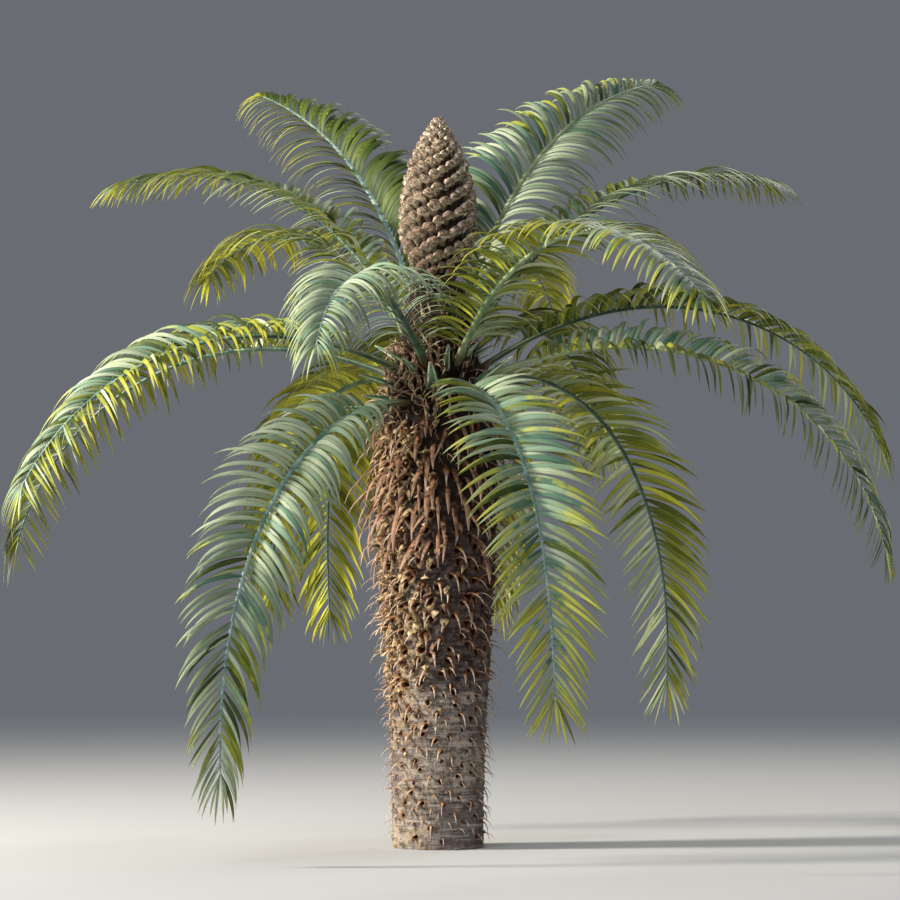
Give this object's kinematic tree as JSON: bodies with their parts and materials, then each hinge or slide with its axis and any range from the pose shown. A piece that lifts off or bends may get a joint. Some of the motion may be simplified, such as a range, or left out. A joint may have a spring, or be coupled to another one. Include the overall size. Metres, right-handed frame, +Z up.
{
  "type": "sago palm",
  "caption": "Rooted sago palm with a rough tapering trunk, a tall scaly cone and a full crown of arching feather-shaped fronds",
  "frame": {"origin": "middle of the flat cut under the trunk, at ground level", "axes": "+Z up the trunk, -Y toward the viewer of the picture, +X to the picture's right"},
  "size_m": [2.4834, 2.6214, 2.1731],
  "materials": {
    "trunk": "rough, fibrous and scaly",
    "cone": "matt, in spiral scales",
    "frond": "leathery leaflets with a soft sheen",
    "stalk": "smooth green stalk with a pale cut end"
  },
  "bodies": {
    "root": {"trunk": "trunk", "cone": "cone", "cut_stalk_01": "stalk", "cut_stalk_02": "stalk", "cut_stalk_03": "stalk", "cut_stalk_04": "stalk", "cut_stalk_05": "stalk", "cut_stalk_06": "stalk", "cut_stalk_07": "stalk", "cut_stalk_08": "stalk", "cut_stalk_09": "stalk", "cut_stalk_10": "stalk", "cut_stalk_11": "stalk", "cut_stalk_12": "stalk", "cut_stalk_13": "stalk", "cut_stalk_14": "stalk", "frond_01_inner": "frond", "frond_01_outer": "frond", "frond_02_inner": "frond", "frond_02_outer": "frond", "frond_03_inner": "frond", "frond_03_outer": "frond", "frond_04_inner": "frond", "frond_04_outer": "frond", "frond_05_inner": "frond", "frond_05_outer": "frond", "frond_06_inner": "frond", "frond_06_outer": "frond", "frond_07_inner": "frond", "frond_07_outer": "frond", "frond_08_inner": "frond", "frond_08_outer": "frond", "frond_09_inner": "frond", "frond_09_outer": "frond", "frond_10_inner": "frond", "frond_10_outer": "frond", "frond_11_inner": "frond", "frond_11_outer": "frond", "frond_12_inner": "frond", "frond_12_outer": "frond", "frond_13_inner": "frond", "frond_13_outer": "frond", "frond_14_inner": "frond", "frond_14_outer": "frond", "frond_15_inner": "frond", "frond_15_outer": "frond", "frond_16_inner": "frond", "frond_16_outer": "frond", "frond_17_inner": "frond", "frond_17_outer": "frond", "frond_18_inner": "frond", "frond_18_outer": "frond", "frond_19_inner": "frond", "frond_19_outer": "frond", "frond_20_inner": "frond", "frond_20_outer": "frond"}
  },
  "joints": []
}
